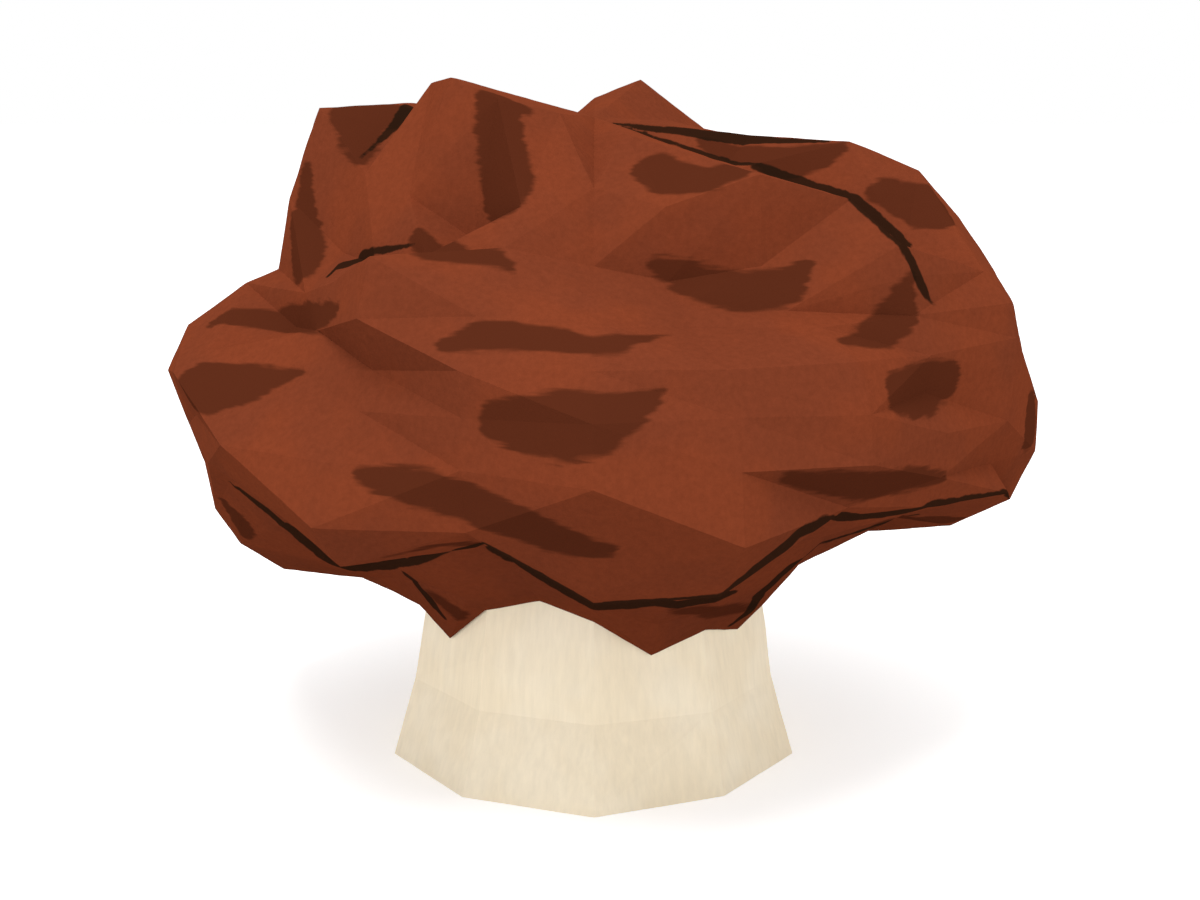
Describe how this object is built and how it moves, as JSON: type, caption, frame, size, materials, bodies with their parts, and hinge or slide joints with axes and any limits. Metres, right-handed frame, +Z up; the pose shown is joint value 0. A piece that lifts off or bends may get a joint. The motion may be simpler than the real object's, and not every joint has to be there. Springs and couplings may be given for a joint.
{
  "type": "false morel",
  "caption": "False morel mushroom: a lobed, folded reddish-brown cap with dark blotches on a short stout cream stem, flared to a flat cut foot.",
  "frame": {"origin": "middle of the flat cut foot of the stem", "axes": "+Z up along the stem, -Y towards the front of the cap, +X to the right seen from the front"},
  "size_m": [0.095, 0.085, 0.0725],
  "materials": {
    "cap_skin": "matte",
    "stem_flesh": "matte"
  },
  "bodies": {
    "root": {"cap": "cap_skin", "stalk": "stem_flesh"}
  },
  "joints": []
}
